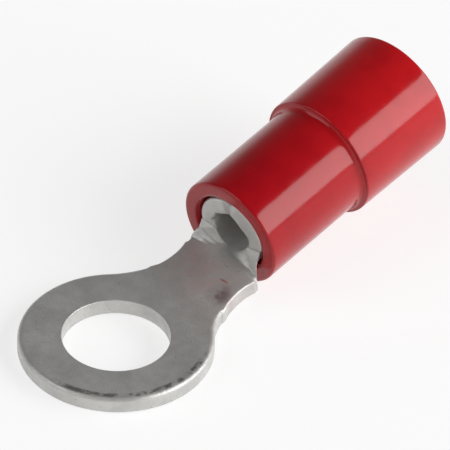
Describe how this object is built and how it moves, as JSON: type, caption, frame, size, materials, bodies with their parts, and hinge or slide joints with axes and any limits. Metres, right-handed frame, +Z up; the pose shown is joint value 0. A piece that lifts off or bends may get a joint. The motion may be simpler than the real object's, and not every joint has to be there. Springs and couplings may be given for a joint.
{
  "type": "ring terminal",
  "caption": "Insulated crimp ring terminal: flat ring for a stud, rolled metal wire barrel, and a stepped plastic sleeve over the barrel.",
  "frame": {"origin": "centre of the stud hole, on the tongue's underside", "axes": "+Z up through the stud hole, +X from the ring towards the wire entry"},
  "size_m": [0.021, 0.0078, 0.0064],
  "materials": {
    "tinned_copper": "satin tin plate",
    "red_pvc": "gloss"
  },
  "bodies": {
    "root": {"terminal": "tinned_copper", "insulation_sleeve": "red_pvc"}
  },
  "joints": []
}
